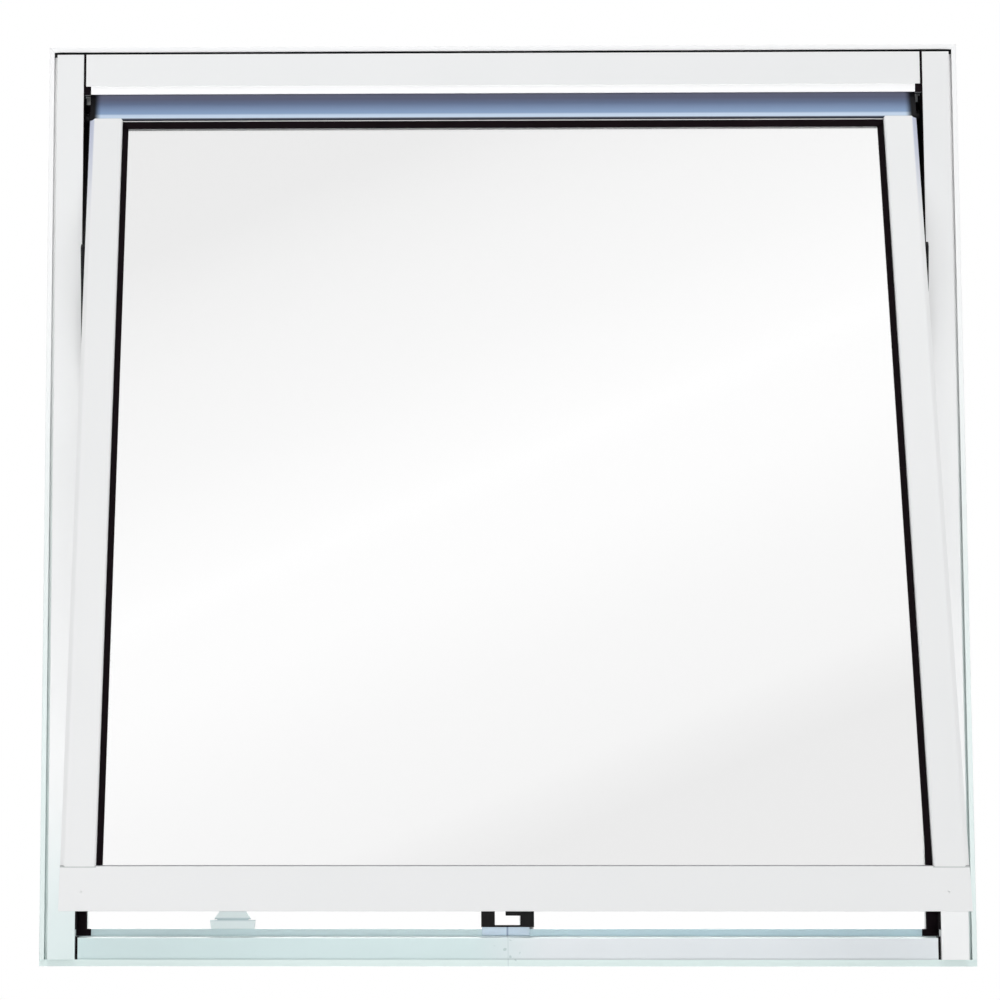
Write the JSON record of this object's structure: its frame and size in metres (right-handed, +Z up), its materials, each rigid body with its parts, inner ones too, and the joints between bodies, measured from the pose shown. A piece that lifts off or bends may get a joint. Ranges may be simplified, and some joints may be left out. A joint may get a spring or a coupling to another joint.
{
  "type": "top hung awning window",
  "caption": "Square top hung awning window: white aluminium frame, glazed sash standing open at the bottom on friction stays, chain winder on the sill.",
  "frame": {"origin": "on the back face of the sill fin, which lies against the outside of the wall, 4 mm under the jambs' ends", "axes": "+X along the window to the right seen from outdoors, +Y indoors, +Z up"},
  "size_m": [0.916, 0.3282, 0.9215],
  "materials": {
    "powder_coated_aluminium": "satin white powder coat on extruded aluminium",
    "black_rubber": "matt black extruded EPDM",
    "float_glass": "clear toughened float glass, 5 mm",
    "black_stay_steel": "black coated stainless strip",
    "black_nylon": "moulded black nylon",
    "chain_steel": "stainless plates and pins",
    "winder_white": "white powder coated die casting",
    "white_pvc": "bright white extruded PVC",
    "white_nylon": "moulded white nylon"
  },
  "bodies": {
    "root": {"bead_gasket_bottom": "black_rubber", "bead_gasket_left": "black_rubber", "bead_gasket_right": "black_rubber", "bead_gasket_top": "black_rubber", "chain_bracket": "winder_white", "chain_guide": "black_nylon", "frame_head": "powder_coated_aluminium", "frame_jamb_left": "powder_coated_aluminium", "frame_jamb_right": "powder_coated_aluminium", "frame_sill": "powder_coated_aluminium", "glass_pane": "float_glass", "glazing_bead_bottom": "powder_coated_aluminium", "glazing_bead_left": "powder_coated_aluminium", "glazing_bead_right": "powder_coated_aluminium", "glazing_bead_top": "powder_coated_aluminium", "glazing_gasket_bottom": "black_rubber", "glazing_gasket_left": "black_rubber", "glazing_gasket_right": "black_rubber", "glazing_gasket_top": "black_rubber", "head_drip_strip": "white_pvc", "head_pad_left": "black_rubber", "head_pad_right": "black_rubber", "sash_bottom_rail": "powder_coated_aluminium", "sash_stile_left": "powder_coated_aluminium", "sash_stile_right": "powder_coated_aluminium", "sash_top_rail": "powder_coated_aluminium", "seal_head": "black_rubber", "seal_jamb_left": "black_rubber", "seal_jamb_right": "black_rubber", "sill_pad_left": "black_rubber", "sill_pad_right": "black_rubber", "stay_arm_left": "black_stay_steel", "stay_arm_right": "black_stay_steel", "stay_rivets_left": "black_stay_steel", "stay_rivets_right": "black_stay_steel", "stay_sash_bar_left": "black_stay_steel", "stay_sash_bar_right": "black_stay_steel", "stay_shoe_left": "black_nylon", "stay_shoe_right": "black_nylon", "stay_track_left": "black_stay_steel", "stay_track_right": "black_stay_steel", "striker_block": "white_nylon", "winder_body": "winder_white", "winder_chain": "chain_steel", "winder_handle": "winder_white"}
  },
  "joints": []
}
